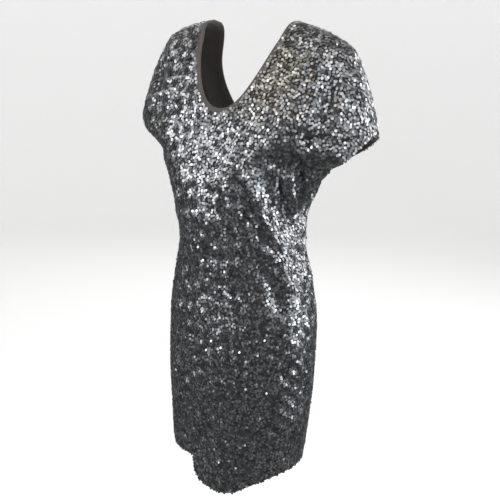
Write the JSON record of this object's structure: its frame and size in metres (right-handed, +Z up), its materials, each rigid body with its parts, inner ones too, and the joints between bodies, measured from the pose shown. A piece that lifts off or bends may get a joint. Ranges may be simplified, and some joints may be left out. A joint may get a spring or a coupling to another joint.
{
  "type": "cocktail dress in its worn, hollow form",
  "caption": "Short-sleeved scoop-neck cocktail dress of sequinned mesh, hollow as worn, with a low scooped back and a shaped hem.",
  "frame": {"origin": "midway between the two neck points, at the top of the shoulders, where the wearer's shoulders hold the dress up", "axes": "+Z up, +X to the wearer's left, -Y the way the wearer faces"},
  "size_m": [0.508, 0.2625, 0.95],
  "materials": {
    "sequinned_mesh": "small shiny gunmetal and silver sequins, close together, on dark stretch mesh",
    "bare_mesh": "matt taupe stretch mesh, folded double as a narrow band"
  },
  "bodies": {
    "root": {"front": "sequinned_mesh", "back": "sequinned_mesh", "front_binding": "bare_mesh", "back_binding": "bare_mesh"}
  },
  "joints": []
}
